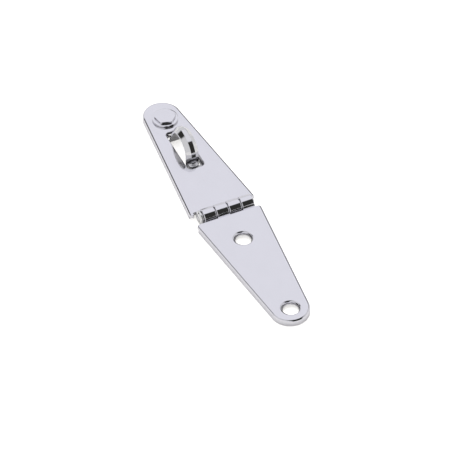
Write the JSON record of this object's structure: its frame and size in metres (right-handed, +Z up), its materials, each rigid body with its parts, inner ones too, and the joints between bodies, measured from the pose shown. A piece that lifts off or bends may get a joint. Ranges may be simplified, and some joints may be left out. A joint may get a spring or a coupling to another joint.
{
  "type": "strap hinge hasp",
  "caption": "Polished stainless strap-hinge hasp: a screwed leaf, a swinging slotted strap with a hex stud, and a padlock staple on a base plate.",
  "frame": {"origin": "on the mounting surface, midway between the tips of the two leaves with the strap closed", "axes": "+X along the hinge pin, +Y from the hinge leaf towards the strap's tip, +Z up from the mounting surface"},
  "size_m": [0.0272, 0.1306, 0.0123],
  "materials": {
    "leaf_steel": "polished stainless steel",
    "strap_steel": "polished stainless steel",
    "pin_steel": "drawn stainless rod, peened end",
    "collar_steel": "polished stainless steel",
    "staple_steel": "polished stainless steel",
    "plate_steel": "plain rolled stainless steel",
    "stud_steel": "polished stainless steel",
    "washer_steel": "plain stainless steel"
  },
  "bodies": {
    "root": {"hinge_leaf": "leaf_steel", "hinge_pin": "pin_steel", "pin_collar": "collar_steel", "staple_base_plate": "plate_steel", "padlock_staple": "staple_steel"},
    "strap": {"hasp_strap": "strap_steel", "hex_stud": "stud_steel", "stud_washer": "washer_steel"}
  },
  "joints": [
    {"name": "strap_hinge", "type": "hinge", "parent": "root", "child": "strap", "pos_m": [0, -0.0008, 0.0029], "axis": [1, 0, 0], "range_deg": [0, 170]}
  ]
}
